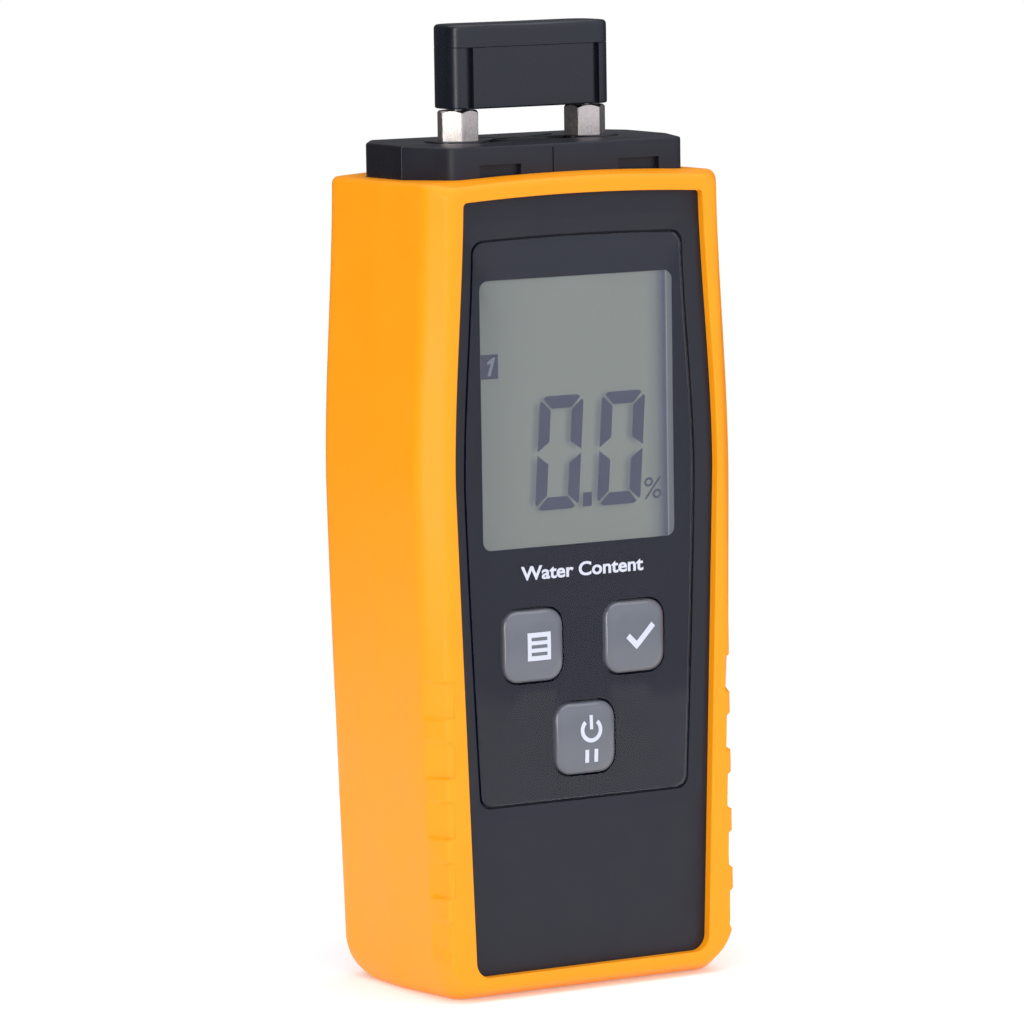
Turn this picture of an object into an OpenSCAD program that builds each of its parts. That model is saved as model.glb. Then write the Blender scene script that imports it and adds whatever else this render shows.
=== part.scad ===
// Pin-type moisture meter: a handheld meter in a soft boot, with two screw-in needles under a pull-off cap.
// Millimetres. X is right seen from the front, the display faces -Y, Z is up, and the origin is under the middle.

/* [Boot] */
// Height of the boot
boot_h = 131.5; // [130:0.5:134]
// Depth of the boot, rim to back
boot_d = 35.2; // [35:0.1:37]
// Half width of the boot at its widest level
boot_half = 29.4; // [29:0.1:31]
// Rubber left around the case
boot_wall = 2.5; // [2.2:0.1:2.8]
// Height of each grip recess
grip_h = 5.8; // [4:0.1:7]
// Spacing of the grip recesses
grip_pitch = 9.75; // [8:0.05:10]
// How deep the grip recesses go
grip_depth = 0.55; // [0.3:0.05:0.8]

/* [Case] */
// How far the panel lies behind the boot's rim
panel_setback = 1.66; // [1.4:0.02:2]
// Wall thickness of the case shells
case_wall = 2; // [1.6:0.1:2.2]
// Top of the head above the ground
head_top = 135.9; // [134:0.1:138]
// Setback of the lens face behind the panel face
lens_setback = 0.74; // [0.5:0.02:0.9]
// Thickness of the lens sheet
lens_t = 1; // [0.8:0.1:1.1]

/* [Keys] */
// Width of a key
key_w = 11; // [10:0.1:11.4]
// Height of a key
key_h = 11.6; // [10:0.1:11.8]
// Corner radius of a key
key_r = 2.8; // [1:0.1:4]
// How far a key stands out of the lens
key_proud = 1.4; // [1:0.1:1.6]
// Travel of a key
key_travel = 0.5; // [0.3:0.05:0.5]
// Gap round a key
key_gap = 0.32; // [0.3:0.02:0.4]

/* [Electrodes] */
// Distance between the two needles
needle_pitch = 23.64; // [23:0.02:24]
// Hexagon size across flats
hex_af = 6; // [5.5:0.1:6.5]
// Height of the hexagon
hex_h = 4.8; // [4:0.1:5]
// Needle radius
needle_r = 0.8; // [0.6:0.05:1]
// Needle length above the hexagon
needle_l = 9.6; // [8:0.1:10]

/* [Cap] */
// Width of the pin cap
cap_w = 29.5; // [29:0.1:30.5]
// Depth of the pin cap
cap_d = 9; // [8.8:0.1:10]
// Height of the pin cap
cap_h = 13.4; // [13:0.1:15]
// Wall thickness of the pin cap
cap_wall = 1.3; // [1:0.1:1.4]

/* [Batteries] */
// Diameter of a cell
cell_d = 10.5; // [10.5:0.1:10.5]
// Length of a cell with its nub
cell_l = 44.5; // [44.5:0.1:44.5]

/* [Hidden] */

$fn = 48;
eps = 0.02;
far = 60;

// depth stations, front to back
rim_y = -boot_d / 2;
panel_y = rim_y + panel_setback;
lens_y = panel_y + lens_setback;
floor_y = lens_y + lens_t;
floor_t = 1.4;
seam_y = -2.52;
boot_back_t = 1.8;
boot_back_y = boot_d / 2;
case_back_y = boot_back_y - boot_back_t - 0.1;

// a profile is [z_top, half_top, z_mid, half_mid, z_low, half_low, bend]: an S-curve above z_mid, a taper below
boot_profile = [129, boot_half - 2.4, 82, boot_half, 0, boot_half - 2.35, 1.2];
rim_profile = [131, 24.6, 80, 25.65, 0, 26.9, 1];
opening_profile = [133, 22, 83, 24.3, 4, 21.7, 1];
lens_profile = [124, 19.2, 82, 21.2, 31, 19.15, 1.2];

// front view levels and corner radii
boot_foot_r = 9;
boot_side_foot_r = 4;
boot_heel = [9, 4.5];
boot_top_r = 2.5;
ridge_y = -13.4;
back_round = 2;
case_foot = boot_wall + 0.1;
case_heel = [boot_heel[0] - boot_wall, boot_heel[1] - boot_wall];
case_top = 129;
opening_z = [4.2, 127.5];
lens_z = [30.9, 121.3];
lens_r = 2;
dish = 1.9;
dish_depth = 0.34;
window_half = 18;
window_z = [12, 116];
grip_first_z = 9.5;
grip_count = 5;

// head
head_front_y = -13.15;
head_plan = [[-20.81, head_front_y], [20.81, head_front_y], [24.67, seam_y], [24.67, 9.17],
             [20.6, 15.2], [-20.6, 15.2], [-24.67, 9.17], [-24.67, seam_y]];
head_foot = 119;
snap_x = 12.8;
snap_w = 7.6;

// keys: name order is mode, set, power
key_x = 9.46;
upper_key_z = 56.25;
power_key_z = 40.6;
flange = 0.9;
flange_t = 1;
key_front_y = lens_y - key_proud;
flange_y = floor_y + floor_t + 0.3;
key_back_y = flange_y + flange_t;
key_wall = 1.4;
stem_r = 2.2;

// display
lcd_half = 18.6;
lcd_z = [70.4, 117];
lcd_t = 2.8;
lcd_y = floor_y + 0.1;
guide_t = 1.95;
guide_z = [73.4, 114];
frame_half = 20.2;
frame_z = [68.3, 119.1];
strip_half = 17;
strip_z = [70.9, 114.5];
strip_h = 2;

// board
board_y = -7.2;
board_t = 1.6;
board_half = 20.4;
board_z = [33, 119.5];
switch_w = 6;
switch_y = board_y - 3.5;
plunger_r = 1.7;
post_places = [[-17.8, 65], [17.8, 65], [-16, 37.5], [16, 37.5]];

// case fasteners
boss_places = [[-20, 9.5], [20, 9.5], [-20, 123.2], [20, 123.2]];
boss_r = 3;
screw_r = 1.25;
screw_head_r = 2.3;
screw_head_y = case_back_y - 4;

// electrodes
pin_y = 1.81;
pin_x = needle_pitch / 2;
bone_r = 5.3;
bone_waist = 1.7;
carrier_foot = 127;
socket_foot = 125;
socket_r = 3;
hex_foot = head_top + 0.2;
hex_top = hex_foot + hex_h;
stud_foot = 128.5;
needle_foot = 133;

// cap
cap_foot = hex_top + 0.3;
cap_r = 3;
cap_grip = [1.3, 2.1];
cap_slots = [-12, 11.4];
cap_slot_w = 1.1;
cap_slot_h = cap_h - 3.6;

// battery bay
cell_r = cell_d / 2;
cell_x = 5.85;
cell_y = 8.75;
bay_z = [18, 68];
bay_half = 11.9;
bay_floor_y = cell_y - cell_r - 0.4;
bay_wall = 1.4;
plate_t = 0.4;
spring_gap = 0.1;
nub_h = 1;
nub_r = 2.7;
door_half = 14;
door_z = [15.6, 70.4];
door_t = 1.45;
door_gap = 0.3;

function around(x, half) = [x - half, x + half];
function smooth(t) = let (u = min(1, max(0, t))) u * u * (3 - 2 * u);
function half_at(z, p) = z > p[2]
    ? p[1] + (p[3] - p[1]) * smooth((p[0] - z) / (p[0] - p[2]))
    : p[3] - (p[3] - p[5]) * pow((p[2] - z) / (p[2] - p[4]), p[6]);

// Right-hand edge of a profile between two levels, inset all along, with round corners
function right_edge(p, z0, z1, r0, r1, inset, n = 20, arc = 6) = concat(
    [for (i = [0:arc]) let (a = -90 + 90 * i / arc)
        [half_at(z0 + r0, p) - inset - r0 + r0 * cos(a), z0 + r0 + r0 * sin(a)]],
    [for (i = [1:n - 1]) let (z = z0 + r0 + (z1 - r1 - z0 - r0) * i / n) [half_at(z, p) - inset, z]],
    [for (i = [0:arc]) let (a = 90 * i / arc)
        [half_at(z1 - r1, p) - inset - r1 + r1 * cos(a), z1 - r1 + r1 * sin(a)]]);

module profile(p, z0, z1, r0, r1, inset = 0) {
    edge = right_edge(p, z0, z1, r0, r1, inset);
    polygon(concat(edge, [for (i = [len(edge) - 1:-1:0]) [-edge[i][0], edge[i][1]]]));
}

// Pushes a front-view outline through the depth from y0 to y1
module slab(y0, y1) {
    translate([0, y1, 0]) rotate([90, 0, 0]) linear_extrude(y1 - y0) children();
}

// Everything in front of and above a heel that turns from the foot to the back by a quarter oval, size deep and high
module heel(size, back, foot) {
    rotate([90, 0, 90]) translate([0, 0, -far]) linear_extrude(2 * far) polygon(concat(
        [[-far, 3 * far], [-far, foot]],
        [for (a = [-90 : 10 : 0]) [back - size[0] * (1 - cos(a)), foot + size[1] * (1 + sin(a))]],
        [[back, 3 * far]]));
}
module block(x, y, z) {
    translate([x[0], y[0], z[0]]) cube([x[1] - x[0], y[1] - y[0], z[1] - z[0]]);
}

module rounded_rect(w, h, r) {
    for (x = [-1, 1], z = [-1, 1]) translate([x * (w / 2 - r), z * (h / 2 - r)]) circle(r);
    square([w - 2 * r, h], center = true);
    square([w, h - 2 * r], center = true);
}

// Cylinder along the depth at a front-view place
module rod_y(place, r, y0, y1) {
    translate([place[0], y1, place[1]]) rotate([90, 0, 0]) cylinder(r = r, h = y1 - y0);
}

// Cylinder up from z0 to z1 at a plan place
module post(x, y, r, z0, z1) {
    translate([x, y, z0]) cylinder(r = r, h = z1 - z0);
}

// Round wire swept through points that lie mainly up and down the depth
module wire(points, r, sides = 10) {
    n = len(points) - 1;
    ring = [for (i = [0:n]) let (
            run = points[min(i + 1, n)] - points[max(i - 1, 0)],
            side = cross(run, [1, 0, 0]) / norm(cross(run, [1, 0, 0])),
            up = cross(run, side) / norm(run))
        for (j = [0:sides - 1]) points[i] + r * (cos(360 * j / sides) * side + sin(360 * j / sides) * up)];
    sheath = [for (i = [0:n - 1], j = [0:sides - 1]) let (k = (j + 1) % sides)
        [i * sides + j, i * sides + k, (i + 1) * sides + k, (i + 1) * sides + j]];
    polyhedron(ring, concat(sheath, [[for (j = [sides - 1:-1:0]) j]], [[for (j = [0:sides - 1]) n * sides + j]]));
}

module boot_outside() {
    intersection() {
        hull() {
            slab(rim_y, rim_y + 0.3) profile(rim_profile, 2.4, boot_h - 1.2, boot_foot_r - 2, boot_top_r);
            slab(ridge_y, ridge_y + 0.3) profile(boot_profile, 0, boot_h, boot_foot_r, boot_top_r);
            slab(0, boot_back_y - back_round) profile(boot_profile, 0, boot_h, boot_side_foot_r, boot_top_r);
            slab(boot_back_y - 0.3, boot_back_y) profile(boot_profile, back_round, boot_h - 0.8, boot_side_foot_r,
                                                         boot_top_r, back_round);
        }
        heel(boot_heel, boot_back_y, 0);
    }
}

// Square recesses in the slanting edge between the rim and the side
module grip_cuts() {
    for (side = [-1, 1], i = [0:grip_count - 1]) {
        z = grip_first_z + i * grip_pitch;
        run = [half_at(z, boot_profile) - half_at(z, rim_profile), ridge_y - rim_y];
        translate([side * (half_at(z, rim_profile) + run[0] / 2), rim_y + run[1] / 2, z])
            rotate([0, 0, side * atan2(run[1], run[0])])
                cube([norm(run), 2 * grip_depth, grip_h], center = true);
    }
}

module boot() {
    color("orange") difference() {
        boot_outside();
        intersection() {
            slab(panel_y - 0.05, case_back_y + 0.1)
                profile(boot_profile, case_foot - 0.05, case_top + 0.05, 6, 2, boot_wall - 0.05);
            heel(case_heel, case_back_y + 0.1, case_foot - 0.1);
        }
        slab(-far, panel_y) profile(opening_profile, opening_z[0], opening_z[1], 2, 1.2);
        slab(case_back_y, far) translate([0, (window_z[0] + window_z[1]) / 2])
            rounded_rect(2 * window_half, window_z[1] - window_z[0], 8);
        translate([0, 0, case_top - 1]) linear_extrude(far) offset(delta = 0.08) polygon(head_plan);
        grip_cuts();
    }
}

module bone(grow) {
    for (x = [-1, 1]) translate([x * pin_x, pin_y]) circle(bone_r + grow);
    translate([0, pin_y]) square([2 * pin_x, 2 * (bone_waist + grow)], center = true);
}

module case_outside() {
    intersection() {
        slab(panel_y, case_back_y) profile(boot_profile, case_foot, case_top, 6, 2, boot_wall);
        heel(case_heel, case_back_y, case_foot);
    }
    translate([0, 0, head_foot]) linear_extrude(head_top - head_foot) polygon(head_plan);
}

module case_inside() {
    slab(panel_y + case_wall, case_back_y - case_wall)
        profile(boot_profile, case_foot + case_wall, case_top - case_wall, 4, 1, boot_wall + case_wall);
    translate([0, 0, head_foot]) linear_extrude(head_top - head_foot - case_wall)
        offset(delta = -case_wall) polygon(head_plan);
}

module carrier_opening() {
    translate([0, 0, head_top - case_wall - 1]) linear_extrude(far) bone(0.12);
}

// The front half of the case, and the tongue of its roof that fills the carrier's waist
module front_side() {
    block([-far, far], [-far, seam_y], [0, 3 * far]);
    block(around(0, pin_x), [seam_y - eps, pin_y], [head_top - case_wall, 3 * far]);
}

module key_places() {
    for (place = [[-key_x, upper_key_z], [key_x, upper_key_z], [0, power_key_z]]) translate(place) children();
}

module front_case() {
    color([0.24, 0.24, 0.28]) difference() {
        union() {
            intersection() {
                difference() {
                    case_outside();
                    case_inside();
                }
                front_side();
            }
            slab(panel_y + 1, floor_y + floor_t)
                profile(lens_profile, lens_z[0] - 1.6, lens_z[1] + 1.6, lens_r + 1, lens_r + 1, -1.6);
            for (place = boss_places) rod_y(place, boss_r, panel_y + 1, seam_y);
            for (place = post_places) rod_y(place, 2.3, floor_y + 0.5, board_y - 0.05);
        }
        slab(-far, panel_y + dish_depth)
            profile(lens_profile, lens_z[0] - dish, lens_z[1] + dish, lens_r + 1, lens_r + 1, -dish);
        slab(-far, floor_y) profile(lens_profile, lens_z[0] - 0.12, lens_z[1] + 0.12, lens_r, lens_r, -0.12);
        block([-lcd_half - 0.2, lcd_half + 0.2], [-far, floor_y + floor_t + eps], lcd_z + [-0.2, 0.2]);
        slab(-far, floor_y + floor_t + eps) key_places()
            rounded_rect(key_w + 2 * key_gap, key_h + 2 * key_gap, key_r + key_gap);
        for (place = boss_places) rod_y(place, screw_r + 0.05, -12, seam_y + eps);
        for (place = post_places) rod_y(place, 0.85, -12.2, board_y);
        for (x = [-snap_x, snap_x])
            block(around(x, snap_w / 2), [-far, head_front_y + 0.9], [case_top, case_top + 4]);
        carrier_opening();
    }
}

module back_case() {
    color([0.19, 0.19, 0.22]) difference() {
        union() {
            difference() {
                case_outside();
                case_inside();
                front_side();
            }
            block([-bay_half - bay_wall, bay_half + bay_wall], [bay_floor_y - bay_wall, case_back_y - 1],
                  bay_z + [-bay_wall, bay_wall]);
            intersection() {
                for (place = boss_places) rod_y(place, boss_r, seam_y, case_back_y - 1);
                case_outside();
            }
        }
        block([-bay_half, bay_half], [bay_floor_y, far], bay_z);
        block([-door_half - door_gap, door_half + door_gap], [case_back_y - door_t - 0.1, far],
              door_z + [-door_gap, door_gap]);
        for (place = boss_places) {
            rod_y(place, screw_r + 0.15, seam_y - eps, screw_head_y);
            rod_y(place, screw_head_r + 0.2, screw_head_y - 1.8, case_back_y + eps);
        }
        for (x = [-1, 1]) rod_y([x * 9.2, bay_z[1] - 1.6], 0.8, bay_floor_y - bay_wall - eps, bay_floor_y + eps);
        carrier_opening();
    }
}

module battery_door() {
    color([0.19, 0.19, 0.22]) difference() {
        block([-door_half, door_half], [case_back_y - door_t, case_back_y], door_z);
        for (i = [0:4]) block([-4, 4], [case_back_y - 0.5, far], [door_z[1] - 11 + 1.8 * i, door_z[1] - 10 + 1.8 * i]);
    }
}

module window_lens() {
    color([0.24, 0.25, 0.29, 0.6]) difference() {
        slab(lens_y, floor_y) profile(lens_profile, lens_z[0], lens_z[1], lens_r, lens_r);
        slab(-far, far) key_places()
            rounded_rect(key_w + 2 * key_gap, key_h + 2 * key_gap, key_r + key_gap);
    }
}

module lcd_glass() {
    color([0.55, 0.6, 0.58]) block([-lcd_half, lcd_half], [lcd_y, lcd_y + lcd_t], lcd_z);
}

module contact_strips() {
    color("pink") for (z = strip_z)
        block([-strip_half, strip_half], [lcd_y + lcd_t, board_y], [z, z + strip_h]);
}

module lcd_frame() {
    shelf_y = lcd_y + lcd_t + guide_t + 0.1;
    color("gainsboro") difference() {
        block([-frame_half, frame_half], [floor_y + floor_t + 0.05, board_y - 0.05], frame_z);
        block([-lcd_half - 0.15, lcd_half + 0.15], [-far, shelf_y], lcd_z + [-0.15, 0.15]);
        for (z = strip_z)
            block([-strip_half - 0.1, strip_half + 0.1], [-far, far], [z - 0.1, z + strip_h + 0.1]);
    }
}

module light_guide() {
    color("white") block([-lcd_half + 0.2, lcd_half - 0.2],
                         [lcd_y + lcd_t + 0.02, lcd_y + lcd_t + guide_t], guide_z);
}

module main_board() {
    color("darkgreen") difference() {
        block([-board_half, board_half], [board_y, board_y + board_t], board_z);
        for (place = post_places) rod_y(place, 1.1, -far, 0);
    }
}

module board_chips() {
    back = board_y + board_t;
    color("dimgray") {
        block([-6, 6], [back, back + 1.6], [84, 96]);
        block([9, 14], [back, back + 1.5], [101, 107]);
        block([-14, -9], [back, back + 1.5], [101, 107]);
        for (i = [0:3]) block([-12 + 6.5 * i, -10.4 + 6.5 * i], [back, back + 0.8], [76, 79.2]);
        rod_y([12.5, 88], 3, back, back + 5);
    }
}

module switch_bodies() {
    color("black") for (place = [[-key_x, upper_key_z], [key_x, upper_key_z], [0, power_key_z]])
        difference() {
            block(around(place[0], switch_w / 2), [switch_y, board_y], around(place[1], switch_w / 2));
            rod_y(place, plunger_r + 0.1, switch_y - eps, switch_y + 1.6);
        }
}

module plunger(place) {
    color("ivory") rod_y(place, plunger_r, key_back_y, switch_y + 0.8);
}

module button(place) {
    color([0.5, 0.51, 0.55]) translate([place[0], 0, place[1]]) difference() {
        union() {
            slab(key_front_y, flange_y) rounded_rect(key_w, key_h, key_r);
            slab(flange_y, key_back_y) rounded_rect(key_w + 2 * flange, key_h + 2 * flange, key_r);
        }
        difference() {
            slab(key_front_y + key_wall, key_back_y + eps)
                rounded_rect(key_w - 2 * key_wall, key_h - 2 * key_wall, key_r - key_wall);
            rod_y([0, 0], stem_r, key_front_y, key_back_y);
        }
    }
}

module electrode_carrier() {
    color([0.17, 0.17, 0.2]) difference() {
        union() {
            translate([0, 0, carrier_foot]) linear_extrude(head_top - carrier_foot) bone(0);
            translate([0, 0, head_top - case_wall - 2.6]) linear_extrude(2.5) bone(0.9);
        }
        for (x = [-1, 1]) post(x * pin_x, pin_y, socket_r + 0.03, carrier_foot - 1, head_top + 1);
    }
}

module threaded_sockets() {
    color("goldenrod") for (x = [-1, 1]) difference() {
        post(x * pin_x, pin_y, socket_r, socket_foot, head_top);
        post(x * pin_x, pin_y, 1.5, socket_foot + 2, head_top + 1);
    }
}

module hex_collar(side, turn) {
    chamfer = 0.25;
    corner = hex_af / 2 / cos(30);
    color("silver") translate([side * pin_x, pin_y, 0]) difference() {
        union() {
            intersection() {
                rotate(turn) post(0, 0, corner, hex_foot, hex_top, $fn = 6);
                rotate_extrude() polygon([
                    [0, hex_foot], [hex_af / 2, hex_foot], [corner + eps, hex_foot + chamfer],
                    [corner + eps, hex_top - chamfer], [hex_af / 2, hex_top], [0, hex_top]]);
            }
            post(0, 0, 1.42, stud_foot, hex_foot + 1);
        }
        post(0, 0, needle_r + 0.02, needle_foot, hex_top + 1);
    }
}

module needle(side) {
    tip = 2.4;
    color("lightgray") translate([side * pin_x, pin_y, 0]) rotate_extrude() polygon([
        [0, needle_foot + 0.05], [needle_r, needle_foot + 0.05], [needle_r, hex_top + needle_l - tip],
        [0.06, hex_top + needle_l], [0, hex_top + needle_l]]);
}

module electrode_leads() {
    color("red") for (x = [-1, 1]) wire([
        [x * pin_x, pin_y, socket_foot], [x * pin_x, pin_y, 123.5], [x * 11.5, pin_y, 121.5],
        [x * 10, 0.5, 119], [x * 8.5, -1.2, 116], [x * 8, -2.2, 113.5],
        [x * 8, -3.2, 112.2], [x * 8, -4.4, 111.8], [x * 8, board_y + board_t, 111.8]], 0.6);
}

module pin_cap() {
    color([0.2, 0.2, 0.24]) translate([0, pin_y, cap_foot]) {
        difference() {
            hull() {
                linear_extrude(cap_h - 0.8) rounded_rect(cap_w, cap_d, cap_r, $fn = 32);
                linear_extrude(cap_h) rounded_rect(cap_w - 1.4, cap_d - 1.4, cap_r - 0.7, $fn = 32);
            }
            translate([0, 0, -1]) linear_extrude(cap_h - cap_wall + 1)
                rounded_rect(cap_w - 2 * cap_wall, cap_d - 2 * cap_wall, cap_r - cap_wall);
            for (x = cap_slots)
                block(around(x, cap_slot_w / 2), [-far, far], [-1, cap_slot_h]);
        }
        for (x = [-1, 1]) difference() {
            post(x * pin_x, 0, cap_grip[1], 2, cap_h - cap_wall);
            post(x * pin_x, 0, cap_grip[0], 1, cap_h - cap_wall - 1);
        }
    }
}

// Cell with its plain end on the spring: flip turns it end for end
module cell(x, flip) {
    mid = (bay_z[0] + bay_z[1]) / 2;
    foot = bay_z[1] - plate_t - spring_gap - cell_l;
    translate([x, cell_y, mid]) rotate([flip ? 180 : 0, 0, 0]) translate([0, 0, foot - mid]) {
        cylinder(r = cell_r, h = cell_l - nub_h);
        cylinder(r = nub_r, h = cell_l);
    }
}

module battery_left() {
    color("darkkhaki") cell(-cell_x, false);
}

module battery_right() {
    color("darkkhaki") cell(cell_x, true);
}

module contact_plates() {
    w = 8.4;
    color("silver") {
        block(around(0, cell_x + w / 2), around(cell_y, 3.4), [bay_z[1] - plate_t, bay_z[1]]);
        for (x = [-cell_x, cell_x]) block(around(x, w / 2), around(cell_y, 3.4), [bay_z[0], bay_z[0] + plate_t]);
    }
}

// Conical coil of round wire, swept ring by ring along its helix
module coil(r0, r1, h, turns, wire_r, sides = 6, steps = 14) {
    n = ceil(turns * steps);
    ring = [for (i = [0:n]) let (t = i / n, a = 360 * turns * t, r = r0 + (r1 - r0) * t, z = wire_r + (h - 2 * wire_r) * t)
        for (j = [0:sides - 1]) let (b = 360 * j / sides)
            [(r + wire_r * cos(b)) * cos(a), (r + wire_r * cos(b)) * sin(a), z + wire_r * sin(b)]];
    sheath = [for (i = [0:n - 1], j = [0:sides - 1]) let (k = (j + 1) % sides)
        [i * sides + j, (i + 1) * sides + j, (i + 1) * sides + k, i * sides + k]];
    polyhedron(ring, concat(sheath, [[for (j = [0:sides - 1]) j]], [[for (j = [sides - 1:-1:0]) n * sides + j]]));
}

module contact_springs() {
    spring_h = bay_z[1] - bay_z[0] - 2 * plate_t - 2 * spring_gap - cell_l;
    color("silver") {
        translate([-cell_x, cell_y, bay_z[0] + plate_t]) coil(3.4, 2, spring_h, 3.5, 0.3);
        translate([cell_x, cell_y, bay_z[1] - plate_t]) mirror([0, 0, 1]) coil(3.4, 2, spring_h, 3.5, 0.3);
    }
}

module battery_leads() {
    z = bay_z[1] - 1.6;
    color("red") for (x = [-1, 1]) wire([
        [x * 9.2, bay_floor_y + 0.3, z], [x * 9.2, 1.2, z], [x * 9.2, 0, z + 0.5], [x * 10, -1.5, z + 2],
        [x * 11, -3, z + 4], [x * 11.5, -4.4, z + 4.8], [x * 11.5, board_y + board_t, z + 4.8]], 0.6);
}

module case_screws() {
    color("silver") for (place = boss_places) difference() {
        union() {
            rod_y(place, screw_r, -9, screw_head_y);
            rod_y(place, screw_head_r, screw_head_y - 1.75, screw_head_y);
        }
        for (a = [0, 90]) translate([place[0], screw_head_y, place[1]]) rotate([0, a, 0])
            cube([0.6, 2, 2.8], center = true);
    }
}

module board_screws() {
    back = board_y + board_t;
    color("silver") for (place = post_places) difference() {
        union() {
            rod_y(place, 0.8, -11.5, back + 0.1);
            rod_y(place, 1.9, back, back + 1.2);
        }
        for (a = [0, 90]) translate([place[0], back + 1.2, place[1]]) rotate([0, a, 0])
            cube([0.5, 1.2, 2.2], center = true);
    }
}

boot();
front_case();
back_case();
battery_door();
window_lens();
lcd_glass();
lcd_frame();
light_guide();
contact_strips();
main_board();
board_chips();
switch_bodies();
plunger([-key_x, upper_key_z]);  // plunger_mode
plunger([key_x, upper_key_z]);  // plunger_set
plunger([0, power_key_z]);  // plunger_power
button([-key_x, upper_key_z]);  // button_mode
button([key_x, upper_key_z]);  // button_set
button([0, power_key_z]);  // button_power
electrode_carrier();
threaded_sockets();
electrode_leads();
hex_collar(-1, 20);  // hex_collar_left
hex_collar(1, -10);  // hex_collar_right
needle(-1);  // needle_left
needle(1);  // needle_right
pin_cap();
battery_left();
battery_right();
contact_plates();
contact_springs();
battery_leads();
case_screws();
board_screws();
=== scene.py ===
import math
import bmesh
import bpy
import numpy as np
from mathutils import Matrix, Vector


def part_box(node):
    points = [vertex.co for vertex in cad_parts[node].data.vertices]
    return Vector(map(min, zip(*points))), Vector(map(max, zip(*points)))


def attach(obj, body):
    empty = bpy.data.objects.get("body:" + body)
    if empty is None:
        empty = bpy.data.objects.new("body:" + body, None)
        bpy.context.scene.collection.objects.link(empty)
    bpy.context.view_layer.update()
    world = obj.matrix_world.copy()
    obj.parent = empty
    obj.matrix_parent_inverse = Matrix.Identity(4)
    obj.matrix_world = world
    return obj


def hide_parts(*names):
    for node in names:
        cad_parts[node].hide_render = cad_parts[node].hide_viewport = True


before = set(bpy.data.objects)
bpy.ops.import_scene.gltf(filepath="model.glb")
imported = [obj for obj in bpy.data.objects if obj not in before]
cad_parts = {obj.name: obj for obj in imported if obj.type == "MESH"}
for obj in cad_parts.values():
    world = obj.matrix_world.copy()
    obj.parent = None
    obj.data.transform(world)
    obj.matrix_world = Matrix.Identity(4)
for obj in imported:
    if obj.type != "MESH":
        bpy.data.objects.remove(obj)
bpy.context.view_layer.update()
scene = bpy.context.scene
scene.view_settings.view_transform = "Standard"
mm = 0.001
print("frame loaded")

# camera: a long lens a metre away, a little above the meter and to its left
cameraLook = {
    "azimuth": -30.6, "elevation": 6.87, "roll": -0.83,  # degrees
    "distance": 1.0498, "aim": (0, -0.0038, 0.0759), "lens": 229.05, "shiftX": -0.0322,
}


def makeCamera(look):
    a, e, r = (math.radians(look[k]) for k in ("azimuth", "elevation", "roll"))
    back = np.array([math.sin(a) * math.cos(e), -math.cos(a) * math.cos(e), math.sin(e)])
    right = np.array([math.cos(a), math.sin(a), 0])
    up = np.cross(back, right)
    axes = np.column_stack([math.cos(r) * right + math.sin(r) * up, -math.sin(r) * right + math.cos(r) * up,
                            back])
    matrix = np.eye(4)
    matrix[:3, :3] = axes
    matrix[:3, 3] = np.array(look["aim"]) + back * look["distance"]
    data = bpy.data.cameras.new("meterCamera")
    data.lens, data.sensor_width, data.shift_x = look["lens"], 36, look["shiftX"]
    data.clip_end = 50
    camera = bpy.data.objects.new("meterCamera", data)
    scene.collection.objects.link(camera)
    camera.matrix_world = Matrix(matrix.tolist())
    scene.camera = camera


makeCamera(cameraLook)


# colours are sRGB hex codes, turned to linear light
def hexColour(code):
    srgb = np.array([int(code[i:i + 2], 16) for i in (1, 3, 5)]) / 255
    linear = np.where(srgb <= 0.04045, srgb / 12.92, ((srgb + 0.055) / 1.055) ** 2.4)
    return (*linear.tolist(), 1.0)


def addNode(tree, kind, settings=None, links=None):
    node = tree.nodes.new(kind)
    for key, value in (settings or {}).items():
        if isinstance(key, int) or key in node.inputs:
            node.inputs[key].default_value = value
        else:
            setattr(node, key, value)
    for key, (source, output) in (links or {}).items():
        tree.links.new(source.outputs[output], node.inputs[key])
    return node


def startMaterial(name, settings):
    material = bpy.data.materials.new(name)
    material.use_nodes = True
    tree = material.node_tree
    tree.nodes.clear()
    shader = addNode(tree, "ShaderNodeBsdfPrincipled", settings)
    addNode(tree, "ShaderNodeOutputMaterial", None, {"Surface": (shader, "BSDF")})
    place = addNode(tree, "ShaderNodeTexCoord")
    return material, tree, shader, place


# One noise drives the colour and the gloss, the other the bump, whose depth is a share of the grain
def addFinish(tree, shader, look, pattern, grain):
    tint = addNode(tree, "ShaderNodeMix",
                   {"data_type": "RGBA", 6: hexColour(look["colour"]), 7: hexColour(look["second"])},
                   {0: (pattern, "Fac")})
    gloss = addNode(tree, "ShaderNodeMapRange",
                    {"From Min": 0.3, "From Max": 0.7, "To Min": look["rough"][0],
                     "To Max": look["rough"][1]},
                    {"Value": (pattern, "Fac")})
    bumpDepth = 0.3
    bump = addNode(tree, "ShaderNodeBump",
                   {"Strength": look["bump"], "Distance": look["grainMm"] * mm * bumpDepth},
                   {"Height": (grain, "Fac")})
    tree.links.new(tint.outputs[2], shader.inputs["Base Color"])
    tree.links.new(gloss.outputs["Result"], shader.inputs["Roughness"])
    tree.links.new(bump.outputs["Normal"], shader.inputs["Normal"])


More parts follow.
